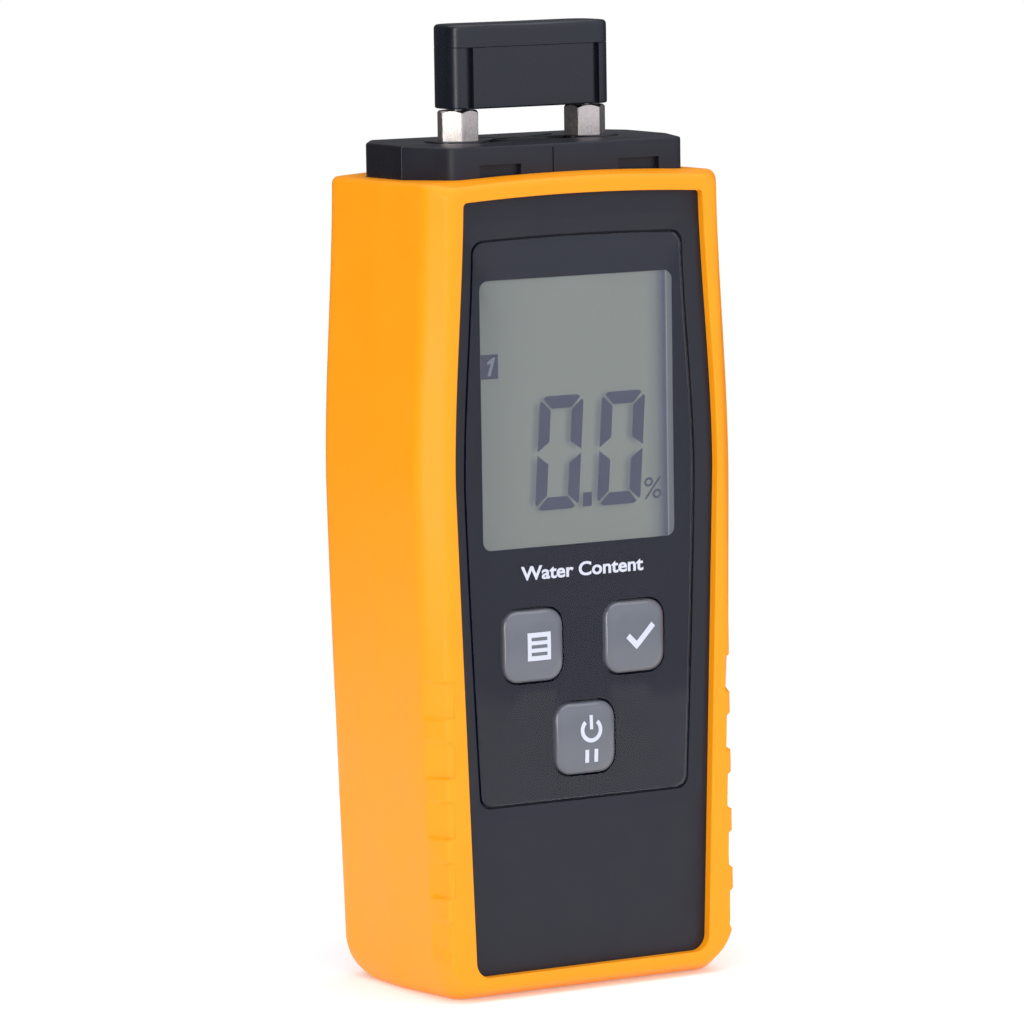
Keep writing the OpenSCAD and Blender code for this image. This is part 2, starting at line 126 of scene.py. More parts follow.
# Moulded plastic or rubber: soft mottling of the colour, uneven gloss, and the fine grain left by the
# mould
def moulded(name, look):
    settings = {"IOR": look.get("ior", 1.5), **look.get("extra", {})}
    material, tree, shader, place = startMaterial(name, settings)
    mottle = addNode(tree, "ShaderNodeTexNoise", {"Scale": 1 / (look["mottleMm"] * mm), "Detail": 4.0},
                     {"Vector": (place, "Object")})
    grain = addNode(tree, "ShaderNodeTexNoise",
                    {"Scale": 1 / (look["grainMm"] * mm), "Detail": 3.0, "Roughness": 0.6},
                    {"Vector": (place, "Object")})
    addFinish(tree, shader, look, mottle, grain)
    return material


# Metal with fine parallel tool marks along one axis
def toolMarked(name, look):
    material, tree, shader, place = startMaterial(name, {"Metallic": 1.0})
    stretch = addNode(tree, "ShaderNodeMapping", {"Scale": look["stretch"]}, {"Vector": (place, "Object")})
    marks = addNode(tree, "ShaderNodeTexNoise",
                    {"Scale": 1 / (look["grainMm"] * mm), "Detail": 5.0, "Roughness": 0.7},
                    {"Vector": (stretch, "Vector")})
    addFinish(tree, shader, look, marks, marks)
    return material


# Silicone rubber, compression moulded: satin, slightly waxy, its colour a little uneven
orangeSilicone = moulded("orangeSilicone", {
    "colour": "#FF9B04", "second": "#FFA10C", "mottleMm": 9, "grainMm": 0.35, "rough": (0.38, 0.48),
    "bump": 0.1, "ior": 1.41, "extra": {"Specular IOR Level": 0.42}})
# ABS, injection moulded in a spark-eroded tool: charcoal with a fine matt grain
charcoalAbs = moulded("charcoalAbs", {
    "colour": "#16161F", "second": "#1B1B25", "mottleMm": 6, "grainMm": 0.3, "rough": (0.42, 0.55),
    "bump": 0.12, "ior": 1.53, "extra": {"Specular IOR Level": 0.35}})
# ABS from a smoother tool, as on the head and the cap
satinAbs = moulded("satinAbs", {
    "colour": "#121116", "second": "#17161C", "mottleMm": 5, "grainMm": 0.3, "rough": (0.2, 0.3),
    "bump": 0.1, "ior": 1.53, "extra": {"Specular IOR Level": 0.42}})
capAbs = moulded("capAbs", {
    "colour": "#0E1118", "second": "#12151E", "mottleMm": 4, "grainMm": 0.3, "rough": (0.22, 0.34),
    "bump": 0.12, "ior": 1.53, "extra": {"Specular IOR Level": 0.44}})
# Ink screen-printed on the back of the lens: flat navy black, without a gloss of its own where it is
# bonded
borderInk = moulded("borderInk", {
    "colour": "#0A0E20", "second": "#0E1226", "mottleMm": 9, "grainMm": 0.4, "rough": (0.6, 0.7),
    "bump": 0.0, "extra": {"Specular IOR Level": 0.0}})
# White ink for the legends
whiteInk = moulded("whiteInk", {
    "colour": "#CCCED6", "second": "#D8DAE2", "mottleMm": 1.5, "grainMm": 0.25, "rough": (0.4, 0.5),
    "bump": 0.1})
# Polycarbonate keys under a clear lacquer
keyPlastic = moulded("keyPlastic", {
    "colour": "#575A60", "second": "#5E6168", "mottleMm": 3, "grainMm": 0.5, "rough": (0.2, 0.26),
    "bump": 0.0, "ior": 1.58, "extra": {"Coat Weight": 0.7, "Coat Roughness": 0.04}})
whitePlastic = moulded("whitePlastic", {
    "colour": "#DADAD2", "second": "#E4E4DE", "mottleMm": 4, "grainMm": 0.3, "rough": (0.4, 0.55),
    "bump": 0.1})
blackEpoxy = moulded("blackEpoxy", {
    "colour": "#1B1B1D", "second": "#232326", "mottleMm": 2, "grainMm": 0.2, "rough": (0.5, 0.65),
    "bump": 0.2, "ior": 1.55})
stripSilicone = moulded("stripSilicone", {
    "colour": "#C98E90", "second": "#D8A2A3", "mottleMm": 0.6, "grainMm": 0.2, "rough": (0.5, 0.6),
    "bump": 0.1, "ior": 1.41})
redPvc = moulded("redPvc", {
    "colour": "#A81414", "second": "#B81C18", "mottleMm": 2, "grainMm": 0.2, "rough": (0.3, 0.4),
    "bump": 0.05, "ior": 1.53})
solderMask = moulded("solderMask", {
    "colour": "#0E4A20", "second": "#175E2A", "mottleMm": 1.2, "grainMm": 0.25, "rough": (0.2, 0.35),
    "bump": 0.2})
cellSleeve = moulded("cellSleeve", {
    "colour": "#2A3138", "second": "#323A42", "mottleMm": 6, "grainMm": 0.4, "rough": (0.2, 0.3),
    "bump": 0.03})
# Nickel plate over milled brass: warm silver, fine marks up and down the flats
nickelPlate = toolMarked("nickelPlate", {
    "colour": "#A3978F", "second": "#EEE5DD", "grainMm": 0.3, "stretch": (1, 1, 0.3), "rough": (0.22, 0.42),
    "bump": 0.5})
groundSteel = toolMarked("groundSteel", {
    "colour": "#C4C4C6", "second": "#DADADC", "grainMm": 0.2, "stretch": (1, 1, 8), "rough": (0.18, 0.3),
    "bump": 0.15})
turnedBrass = toolMarked("turnedBrass", {
    "colour": "#C79A4A", "second": "#D8B062", "grainMm": 0.2, "stretch": (1, 1, 8), "rough": (0.2, 0.34),
    "bump": 0.15})
zincPlate = toolMarked("zincPlate", {
    "colour": "#9DA0A2", "second": "#B4B7BA", "grainMm": 0.25, "stretch": (1, 1, 1), "rough": (0.28, 0.45),
    "bump": 0.1})


# Cast acrylic sheet, polished: clear, with sharp reflections that waver a little
def clearAcrylic():
    material, tree, shader, place = startMaterial("clearAcrylic", {
        "Base Color": hexColour("#F4F6F8"), "IOR": 1.49, "Transmission Weight": 1.0, "Roughness": 0.05})
    waves = addNode(tree, "ShaderNodeTexNoise", {"Scale": 1 / (22 * mm), "Detail": 1.0},
                    {"Vector": (place, "Object")})
    bump = addNode(tree, "ShaderNodeBump", {"Strength": 0.25, "Distance": 0.15 * mm},
                   {"Height": (waves, "Fac")})
    tree.links.new(bump.outputs["Normal"], shader.inputs["Normal"])
    return material


lensAcrylic = clearAcrylic()
print("materials made")


# Smooth step: 3t^2 - 2t^3 between 0 and 1
def smoothStep(t):
    t = np.clip(t, 0, 1)
    return t * t * (3 - 2 * t)


# Half width at a level: a smooth step from the top to the widest level, then a power-law taper to the
# foot
def halfAt(z, shape):
    topZ, topHalf, midZ, midHalf, lowZ, lowHalf, bend = shape
    upper = topHalf + (midHalf - topHalf) * smoothStep((topZ - z) / (topZ - midZ))
    lower = midHalf - (midHalf - lowHalf) * np.clip((midZ - z) / (midZ - lowZ), 0, None) ** bend
    return np.where(z > midZ, upper, lower)


# Closed front-view outline in mm at one depth, anticlockwise from the middle of the foot: straight foot,
# quarter-round or quarter-oval corners, sides that follow the half width, and a top edge bowed up by a
# parabola
def frontLoop(shape, y, z0, z1, r0, r1, inset=0, arch=0, steps=(8, 8, 60), sideShare=None):
    flat, arc, side = steps
    wide, r0 = r0 if isinstance(r0, tuple) else (r0, r0)
    foot = np.linspace(0, 1, flat, endpoint=False)
    turn = np.radians(np.linspace(-90, 0, arc, endpoint=False))
    share = np.linspace(0, 1, side, endpoint=False) if sideShare is None else sideShare
    sideZ = z0 + r0 + (z1 - r1 - z0 - r0) * share
    halfLow = halfAt(z0 + r0, shape) - inset
    halfTop = halfAt(z1 - r1, shape) - inset
    topTurn = np.radians(np.linspace(0, 90, arc, endpoint=False))
    x = np.concatenate([foot * (halfLow - wide), halfLow - wide + wide * np.cos(turn),
                        halfAt(sideZ, shape) - inset,
                        halfTop - r1 + r1 * np.cos(topTurn), (halfTop - r1) * np.linspace(1, 0, flat + 1)])
    z = np.concatenate([np.full(flat, z0), z0 + r0 + r0 * np.sin(turn), sideZ,
                        z1 - r1 + r1 * np.sin(topTurn), np.full(flat + 1, z1)])
    bow = arch * np.clip(1 - (x / halfTop) ** 2, 0, 1) * smoothStep((z - z1 + 4 * r1 + 2) / (4 * r1 + 2))
    z = z + bow
    x = np.concatenate([x, -x[-2:0:-1]])
    z = np.concatenate([z, z[-2:0:-1]])
    return np.column_stack([x, np.full_like(x, y), z])


# A straight-sided rounded rectangle as such an outline, centred at (x, z)
def rectLoop(place, size, radius, y, steps):
    z0, z1 = place[1] - size[1] / 2, place[1] + size[1] / 2
    loop = frontLoop((z1, size[0] / 2, z0, size[0] / 2, z0 - 1, size[0] / 2, 1), y, z0, z1, radius, radius,
                     steps=steps)
    return loop + np.array([place[0], 0, 0])


# Closed plan outline at one level: each corner of a polygon is a quadratic arc, with evenly spaced points
# between
def planLoop(corners, radii, z, arc=6, span=8):
    corners = np.array(corners, float)
    rows = []
    for k, (corner, radius) in enumerate(zip(corners, np.broadcast_to(radii, len(corners)))):
        before, after = corners[k - 1] - corner, corners[(k + 1) % len(corners)] - corner
        start = corner + before / np.linalg.norm(before) * radius
        end = corner + after / np.linalg.norm(after) * radius
        t = np.linspace(0, 1, arc + 1)[:, None]
        rows.append((1 - t) ** 2 * start + 2 * t * (1 - t) * corner + t * t * end)
    out = []
    for k, row in enumerate(rows):
        nextStart = rows[(k + 1) % len(rows)][0]
        out += [row, row[-1] + (nextStart - row[-1]) * np.linspace(0, 1, span + 1)[1:-1, None]]
    xy = np.concatenate(out)
    return np.column_stack([xy, np.full(len(xy), z)])


# Surface through a chain of outlines: straight spans between them, and at each one a quadratic arc that
# begins and ends the given radius away along both spans, (1-t)^2 a + 2t(1-t) corner + t^2 b
def loft(rings, radii, spans, arc=5, closed=False):
    count = len(rings)
    corners = []
    for k, ring in enumerate(rings):
        if radii[k] == 0 or (not closed and k in (0, count - 1)):
            corners.append(ring[None])
            continue
        ends = []
        for other in (rings[k - 1], rings[(k + 1) % count]):
            way = other - ring
            length = np.linalg.norm(way, axis=1, keepdims=True) + 1e-9
            ends.append(ring + way / length * np.minimum(radii[k], 0.49 * length))
        t = np.linspace(0, 1, arc + 1)[:, None, None]
        corners.append((1 - t) ** 2 * ends[0] + 2 * t * (1 - t) * ring + t * t * ends[1])
    rows = []
    for k, corner in enumerate(corners):
        rows.append(corner)
        if closed or k < count - 1:
            t = np.linspace(0, 1, spans[k] + 1)[1:-1, None, None]
            rows.append(corner[-1] + (corners[(k + 1) % count][0] - corner[-1]) * t)
    return np.concatenate(rows)


def gridFaces(rows, columns, closedRows, closedColumns=True):
    r = np.arange(rows if closedRows else rows - 1)[:, None]
    c = np.arange(columns if closedColumns else columns - 1)[None]
    nextR, nextC = (r + 1) % rows, (c + 1) % columns
    return np.stack([r * columns + c, r * columns + nextC, nextR * columns + nextC, nextR * columns + c],
                    -1).reshape(-1, 4)


# Points in mm become a mesh in metres; poles are merged and the faces turned outwards
def addPiece(name, points, faces, angle=35):
    mesh = bpy.data.meshes.new(name)
    mesh.from_pydata((points.reshape(-1, 3) * mm).tolist(), [], faces.tolist())
    tidyMesh(mesh, angle)
    piece = bpy.data.objects.new(name, mesh)
    scene.collection.objects.link(piece)
    return piece


def tidyMesh(mesh, angle):
    work = bmesh.new()
    work.from_mesh(mesh)
    bmesh.ops.remove_doubles(work, verts=work.verts, dist=2e-6)
    bmesh.ops.dissolve_degenerate(work, edges=work.edges, dist=1e-7)
    bmesh.ops.recalc_face_normals(work, faces=work.faces)
    work.to_mesh(mesh)
    work.free()
    mesh.shade_smooth()
    mesh.set_sharp_from_angle(angle=math.radians(angle))


def gridPiece(name, grid, closedRows=False, angle=35):
    return addPiece(name, grid, gridFaces(grid.shape[0], grid.shape[1], closedRows), angle)


# A solid between outlines that shrinks to a pole at both ends
def solidPiece(name, rings, radii, spans, arc=4, angle=35):
    poles = [np.broadcast_to(ring.mean(0), ring.shape) for ring in (rings[0], rings[-1])]
    grid = loft([poles[0], *rings, poles[1]], [0, *radii, 0], [2, *spans, 2], arc)
    return gridPiece(name, grid, angle=angle)


def boolean(piece, other, operation="DIFFERENCE", angle=35):
    modifier = piece.modifiers.new("cut", "BOOLEAN")
    modifier.object, modifier.operation, modifier.solver = other, operation, "EXACT"
    made = bpy.data.meshes.new_from_object(piece.evaluated_get(bpy.context.evaluated_depsgraph_get()))
    piece.modifiers.clear()
    piece.data = made
    bpy.data.objects.remove(other)
    tidyMesh(made, angle)
    return piece


def block(name, x, y, z):
    corners = np.array([[x[0], y[0]], [x[1], y[0]], [x[1], y[1]], [x[0], y[1]]], float)
    rings = [np.column_stack([corners, np.full(4, level)]) for level in z]
    return solidPiece(name, rings, [0, 0], [1])


def wear(piece, material, body, slot=None, *nodes):
    piece.data.materials.clear()
    piece.data.materials.append(material)
    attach(piece, body)
    if nodes:
        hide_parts(*nodes)
    return piece


# places taken from the frame, in mm
def boxMm(node):
    low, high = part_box(node)
    return np.array(low) / mm, np.array(high) / mm


bootLow, bootHigh = boxMm("boot")
frontLow, frontHigh = boxMm("front_case")
rearLow, rearHigh = boxMm("back_case")
lensLow, lensHigh = boxMm("window_lens")
glassLow, glassHigh = boxMm("lcd_glass")
capLow, capHigh = boxMm("pin_cap")
doorLow, doorHigh = boxMm("battery_door")
pinY = (capLow[1] + capHigh[1]) / 2
panelY, headTop, seamY = frontLow[1], frontHigh[2], rearLow[1]

# half widths of an outline: top level and half, widest level and half, foot level and half, bend of the
# taper
bootShape = (133, bootHigh[0] - 2.1, 82, bootHigh[0], 0, bootHigh[0] - 2.35, 1.2)
rimShape = (131, 24.6, 80, 25.65, 0, 26.9, 1)
openingShape = (133, 22, 83, 24.3, 4, 21.7, 1)
lensShape = (124, 19.2, 82, 21.2, 31, 19.15, 1.2)
caseWall = 2.5
caseOutline, caseInside = (2.6, 129, 6, 2), (4.6, 127, 4, 1)  # foot, top, radius below, radius above

bootLook = {
    "height": bootHigh[2] - 1.05, "arch": 1.0, "topSlope": 0.25, "ridgeY": -13.4, "facetY": 1.0,
    "facetOut": 0.22, "rimRadius": 1.15, "lipRadius": 0.3, "ridgeRadius": 1.6, "heel": (9, 4.5),
    "edgeTurn": (2, 2), "topTurn": (1.1, 1.1), "rimFoot": (7.4, 7.4), "ridgeFoot": (5.0, 8.5),
    "sideFoot": (2.7, 4.8), "topRadius": 1.1,
    "recessZ": [10.6, 20.2, 29.8, 39.4, 49.0], "recessHeight": 5.8, "ledge": 0.22,
    "recessTop": 0.3, "recessFoot": 0.5, "recessTilt": 0.4,
    "opening": (3.95, 127.5, 2.6, 0.7), "openingArch": 0.7, "rim": (1.9, 0.7), "rimTop": 2.2,
    "skin": (2.55, 129.05, 6, 2), "windowHalf": 18, "windowZ": (12, 116), "windowRadius": 8,
}
caseHeel = tuple(size - caseWall for size in bootLook["heel"])
quarterSteps = np.sin(np.radians([0, 15, 28, 40, 51, 60, 68, 75, 81, 86, 90]))


# How far a quarter oval, deep along y and high across it, has turned by the time it reaches y, ending
# flush with endY
def quarterTurn(y, size, endY):
    deep, high = size
    share = max(0.0, y - endY + deep) / deep
    return high * (1 - math.sqrt(max(0.0, 1 - share ** 2)))


# The boot is a ring-shaped skin: the section goes from the lip over the rim, the slanting edge, the side
# and the back, through the rear window and forward again inside. The recesses move its slanting edge
# inwards by a depth that grows downwards and towards the rim inside each one
def makeBoot(look):
    shares = [np.linspace(0, 0.42, 170, endpoint=False), np.linspace(0.42, 1, 46, endpoint=False)]
    common = {"steps": (10, 10, 0), "sideShare": np.concatenate(shares)}  # finer where the recesses are
    top, rimY, backY, ridgeY = look["height"], bootLow[1], bootHigh[1], look["ridgeY"]
    inner, wellY = caseWall - 0.05, rearHigh[1] + 0.02
    windowShape = (200, look["windowHalf"], 199, look["windowHalf"], 0, look["windowHalf"], 1)

    def window(y):
        return frontLoop(windowShape, y, *look["windowZ"], look["windowRadius"], look["windowRadius"],
                         **common)

    def outside(y):
        share = (y - ridgeY) / (backY - ridgeY)
        foot = tuple(np.interp(y, (ridgeY, look["facetY"]), pair)
                     for pair in zip(look["ridgeFoot"], look["sideFoot"]))
        facet = look["facetOut"] * abs(y - look["facetY"]) / (backY - look["facetY"])
        inset = facet + quarterTurn(y, look["edgeTurn"], backY)
        return frontLoop(bootShape, y, quarterTurn(y, look["heel"], backY),
                         top - look["topSlope"] * share - quarterTurn(y, look["topTurn"], backY),
                         foot, look["topRadius"], inset=inset, arch=look["arch"], **common)

    backTurn = backY - look["heel"][0] * (1 - quarterSteps)
    wellTurn = wellY - caseHeel[0] * (1 - quarterSteps[::-1])
    rings = [
        frontLoop(openingShape, panelY - 0.02, *look["opening"], arch=look["openingArch"], **common),
        frontLoop(openingShape, rimY, *look["opening"], arch=look["openingArch"], **common),
        frontLoop(rimShape, rimY, look["rim"][0], top - look["rim"][1], look["rimFoot"], look["rimTop"],
                  arch=look["arch"], **common),
        *(outside(y) for y in (ridgeY, look["facetY"], *backTurn)),
        window(backY), window(wellY),
        *(frontLoop(bootShape, y, look["skin"][0] + quarterTurn(y, caseHeel, wellY), *look["skin"][1:],
                    inset=inner, **common) for y in (*wellTurn, panelY - 0.02)),
    ]
    turns = len(backTurn)
    radii = [0, look["lipRadius"], look["rimRadius"], look["ridgeRadius"], 0.4, *[0] * turns, 0.5,
             *[0] * (turns + 2)]
    spans = [2, 3, 20, 6, 3, *[1] * (turns - 1), 2, 2, 4, *[1] * (turns - 1), 2, 1]
    grid = loft(rings, radii, spans, arc=6, closed=True)

    x, y, z = grid[..., 0], grid[..., 1], grid[..., 2]
    rimHalf, sideHalf = halfAt(z, rimShape), halfAt(z, bootShape)
    across = (y - rimY) / (ridgeY - rimY)
    onSlant = (np.abs(x) > rimHalf - 0.9) & (y < ridgeY + 1.8)
    band = smoothStep((across + 0.04) / 0.09) * smoothStep((1.14 - across) / 0.16) * onSlant
    depth = np.zeros_like(z)
    for centre in look["recessZ"]:
        up = (z - centre) / look["recessHeight"] + 0.5
        edge = look["ledge"] / look["recessHeight"]
        inside = smoothStep((up + edge / 2) / edge) * smoothStep((1 + edge / 2 - up) / edge)
        wedge = look["recessFoot"] + (look["recessTop"] - look["recessFoot"]) * np.clip(up, 0, 1)
        depth += inside * (wedge + look["recessTilt"] * np.clip(0.6 - across, -0.5, 0.6))
    depth = np.clip(depth, 0, None)
    run = np.hypot(sideHalf - rimHalf, ridgeY - rimY)
    grid[..., 0] -= np.sign(x) * band * depth * (ridgeY - rimY) / run
    grid[..., 1] += band * depth * (sideHalf - rimHalf) / run
    boot = gridPiece("boot", grid, closedRows=True, angle=50)
    return boolean(boot, headBlock("headHole", 0.1, (118, 140)), angle=50)


headPlan = [(-21.1, -13.15), (21.1, -13.15), (24.67, seamY), (24.67, 9.17), (20.6, 15.2), (-20.6, 15.2),
            (-24.67, 9.17), (-24.67, seamY)]
headCorners = [1.9, 1.9, *[0.7] * 6]
headLevels = (119.2, headTop)


# Prism of the head's plan, grown by a margin
def headBlock(name, grow, levels):
    plan = np.array(headPlan)
    middle = plan.mean(0)
    reach = plan - middle
    plan = middle + reach * (1 + grow / np.abs(reach).max(0))
    rings = [planLoop(plan, headCorners, level, span=6) for level in levels]
    return solidPiece(name, rings, [0, 0], [2])


boneLook = {"pinX": 11.82, "radius": 5.3, "waist": 1.7}


# The carrier's plan, grown by a margin: two round ends joined by a narrower waist
def boneRing(level, grow):
    radius, waist = boneLook["radius"] + grow, boneLook["waist"] + grow
    dip = math.asin(waist / radius)
    turn = np.linspace(-math.pi + dip, math.pi - dip, 48)
    end = np.column_stack([boneLook["pinX"] + radius * np.cos(turn), pinY + radius * np.sin(turn)])
    plan = np.concatenate([end, np.column_stack([-end[:, 0], 2 * pinY - end[:, 1]])])
    return np.column_stack([plan, np.full(len(plan), level)])


def boneHole():
    return solidPiece("boneHole", [boneRing(level, 0.2) for level in (headTop - 4, headTop + 2)],
                      [0, 0], [1])


# One half of the head, cut at the seam, with its top edge rounded
def splitHead(name, keepFront, edge):
    plan = [p for p in headPlan if (p[1] <= seamY if keepFront else p[1] >= seamY)]
    shift = -0.04 if keepFront else 0.04
    plan = [(p[0], p[1] + shift) if abs(p[1] - seamY) < 0.01 else p for p in plan]
    outer = headCorners[0 if keepFront else -1]
    corners = [0.3 if abs(p[1] - seamY) < 0.1 else outer for p in plan]
    rings = [planLoop(plan, corners, level, span=6) for level in headLevels]
    return solidPiece(name, rings, [0, edge], [3])


panelLook = {"dish": 2.3, "dishTop": 3.0, "slitX": -3.1, "headEdge": 0.45, "pocketGap": 0.28, "ledge": 1.3,
             "floorWall": 1.4, "panelWall": 3.1, "snapX": 12.8, "snapHalf": 3.8, "snapZ": (129, 133),
             "slitZ": (129, 135.4)}


# Front case: a ring-shaped skin from the seam over the panel, down the dish and into the lens pocket,
# joined to the front half of the head
def makeFrontCase(look):
    common = {"steps": (10, 8, 70)}
    lensY, floorY = lensLow[1], lensHigh[1]
    z0, z1 = lensLow[2], lensHigh[2] - 0.35
    dish, gap, ledge = look["dish"], look["pocketGap"], look["ledge"]
    rings = [
        *(frontLoop(bootShape, y, *caseOutline, inset=caseWall, **common) for y in (seamY - 0.05, panelY)),
        frontLoop(lensShape, panelY, z0 - dish, z1 + look["dishTop"], 3, 3, inset=-dish, arch=0.5,
                  **common),
        *(frontLoop(lensShape, y + 0.02, z0 - gap, z1 + gap, 2, 2, inset=-gap, arch=0.4, **common)
          for y in (lensY, floorY)),
        *(frontLoop(lensShape, y, z0 + ledge, z1 - ledge, 1, 1, inset=ledge, **common)
          for y in (floorY + 0.02, floorY + look["floorWall"])),
        *(frontLoop(bootShape, y, *caseInside, inset=caseWall + 2, **common)
          for y in (panelY + look["panelWall"], seamY - 0.05)),
    ]
    radii = [0, 0.8, 0.5, 0.12, 0, 0, 0, 0, 0]
    case = gridPiece("frontCase", loft(rings, radii, [4, 3, 3, 2, 2, 1, 3, 3, 1], arc=4, closed=True),
                     closedRows=True)
    head = splitHead("headFront", True, look["headEdge"])
    half = look["snapHalf"]
    for x in (-look["snapX"], look["snapX"]):
        boolean(head, block("snap", (x - half, x + half), (-20, -12.2), look["snapZ"]))
    boolean(head, block("slit", (look["slitX"] - 0.12, look["slitX"] + 0.12), (-20, -12.95), look["slitZ"]))
    boolean(head, block("hollow", (-18.6, 18.6), (-11.1, 10), (110, headTop - 2)))
    boolean(case, head, "UNION")
    return boolean(case, boneHole())


rearLook = {"headEdge": 0.45, "doorGap": 0.25, "bayHalf": 11.9, "bayZ": (18, 68), "bayFloorY": 3.1}


# Rear case: the section runs from the seam round the back, down into the door's rebate and the battery
# bay, and back inside the wall
def makeRearCase(look):
    common = {"steps": (8, 8, 60)}
    backY, gap = rearHigh[1], look["doorGap"]
    doorMid = (doorLow[2] + doorHigh[2]) / 2
    doorSize = (doorHigh[0] - doorLow[0] + 2 * gap, doorHigh[2] - doorLow[2] + 2 * gap)
    baySize = (2 * look["bayHalf"], look["bayZ"][1] - look["bayZ"][0])
    bayMid = sum(look["bayZ"]) / 2
    rebateY, floorY = doorLow[1] + 0.1, look["bayFloorY"]

    def rect(size, mid, y, radius, grow=0):
        return rectLoop((0, mid), (size[0] + 2 * grow, size[1] + 2 * grow), radius, y, common["steps"])

    outside = [
        frontLoop(bootShape, seamY + 0.05, *caseInside, inset=caseWall + 2, **common),
        frontLoop(bootShape, seamY + 0.05, *caseOutline, inset=caseWall, **common),
        *(frontLoop(bootShape, y, caseOutline[0] + quarterTurn(y, caseHeel, backY), *caseOutline[1:],
                    inset=caseWall, **common) for y in backY - caseHeel[0] * (1 - quarterSteps)),
        rect(doorSize, doorMid, backY, 1.2), rect(doorSize, doorMid, rebateY, 1.2),
        rect(baySize, bayMid, rebateY, 0.6), rect(baySize, bayMid, floorY, 0.6),
    ]
    inside = [
        rect(baySize, bayMid, floorY - 1.4, 0.6, 1.4), rect(baySize, bayMid, backY - 2, 0.6, 1.4),
        frontLoop(bootShape, backY - 2, *caseInside, inset=caseWall + 2, **common),
    ]
    turns = len(quarterSteps)
    outsideGrid = loft([*outside, np.broadcast_to(outside[-1].mean(0), outside[-1].shape)],
                       [0, 0, *[0] * turns, 0.15, 0, 0.15, 0, 0], [1, 5, *[1] * (turns - 1), 3, 1, 1, 3, 3],
                       arc=5)
    insideGrid = loft([np.broadcast_to(inside[0].mean(0), inside[0].shape), *inside, outside[0]],
                      [0, 0, 0, 0, 0], [3, 3, 3, 3], arc=3)
    case = gridPiece("rearCase", np.concatenate([outsideGrid, insideGrid]))
    head = splitHead("headRear", False, look["headEdge"])
    boolean(head, block("hollow", (-20, 20), (-10, 13.2), (110, headTop - 2)))
    boolean(case, head, "UNION")
    return boolean(case, boneHole())


wear(makeFrontCase(panelLook), charcoalAbs, "meter", "case_abs", "front_case")
wear(makeRearCase(rearLook), satinAbs, "meter", "case_abs", "back_case")
wear(makeBoot(bootLook), orangeSilicone, "meter", "boot_silicone", "boot")
print("boot and cases made")

keyLook = {
    "size": (11, 11.6), "corner": 2.8, "crown": 0.3, "edge": (1.4, 1.7),
    "places": {"mode": (-9.46, 56.25), "set": (9.46, 56.25), "power": (0, 40.6)}, "gap": 0.32,
}


# Key front at a place: a shallow dome that falls off with the square of the distance from the middle
def crownDrop(dx, dz, look):
    wide, tall = look["size"]
    return look["crown"] * np.clip((2 * dx / wide) ** 2 + (2 * dz / tall) ** 2, 0, 1.6)


# A key is a stack of rounded rectangles: a flange at the back, the stem, and a front whose edge is a
# quarter oval, (1 - cos t) of the way inwards while (1 - sin t) of its depth is left, bent back by the
# dome
def makeKey(name, place, look):
    low, high = boxMm("button_" + name)
    middle = np.array([place[0], 0, place[1]])

    def ring(y, grow=0.0):
        size = (look["size"][0] + 2 * grow, look["size"][1] + 2 * grow)
        return rectLoop(place, size, look["corner"] + min(grow, 0) * 0.5, y, (8, 10, 10))

    backY, flangeY = high[1], high[1] - 1
    deep, wide = look["edge"]
    turns = np.radians(np.linspace(0, 90, 9))
    shoulder = [ring(low[1] + deep * (1 - math.sin(t)), grow=-wide * (1 - math.cos(t))) for t in turns]
    inner = [middle * (1 - k) * np.array([1, 0, 1]) + shoulder[-1] * np.array([k, 1, k])
             for k in (0.6, 0.3, 0)]
    rings = [ring(backY, 0.9), ring(flangeY, 0.9), ring(flangeY), *shoulder, *inner]
    poles = np.broadcast_to(rings[0].mean(0), rings[0].shape)
    grid = loft([poles, *rings], [0, 0.2, 0.2, 0.1, *[0] * (len(shoulder) + 3)],
                [1, 1, 1, 4, *[1] * (len(shoulder) - 1), 5, 3, 3], arc=4)
    share = np.clip((low[1] + deep - grid[..., 1]) / deep, 0, 1)
    grid[..., 1] += crownDrop(grid[..., 0] - place[0], grid[..., 2] - place[1], look) * share
    return gridPiece("key" + name.capitalize(), grid, angle=60)


for keyName, keyPlace in keyLook["places"].items():
    wear(makeKey(keyName, keyPlace, keyLook), keyPlastic, keyName + "_key", "key_plastic",
         "button_" + keyName)
print("keys made")


# Prism with a key's outline, to cut the lens and its print
def keyHole(place, y):
    size = tuple(s + 2 * keyLook["gap"] for s in keyLook["size"])
    rings = [rectLoop(place, size, keyLook["corner"] + keyLook["gap"], level, (4, 10, 4)) for level in y]
    return solidPiece("keyHole", rings, [0, 0], [1])


lensLook = {"corner": 2, "edge": 0.22, "arch": 0.4, "inkDepth": 0.05, "windowSize": (35.6, 42.9),
            "windowMid": 93.35, "windowRadius": 1.5}


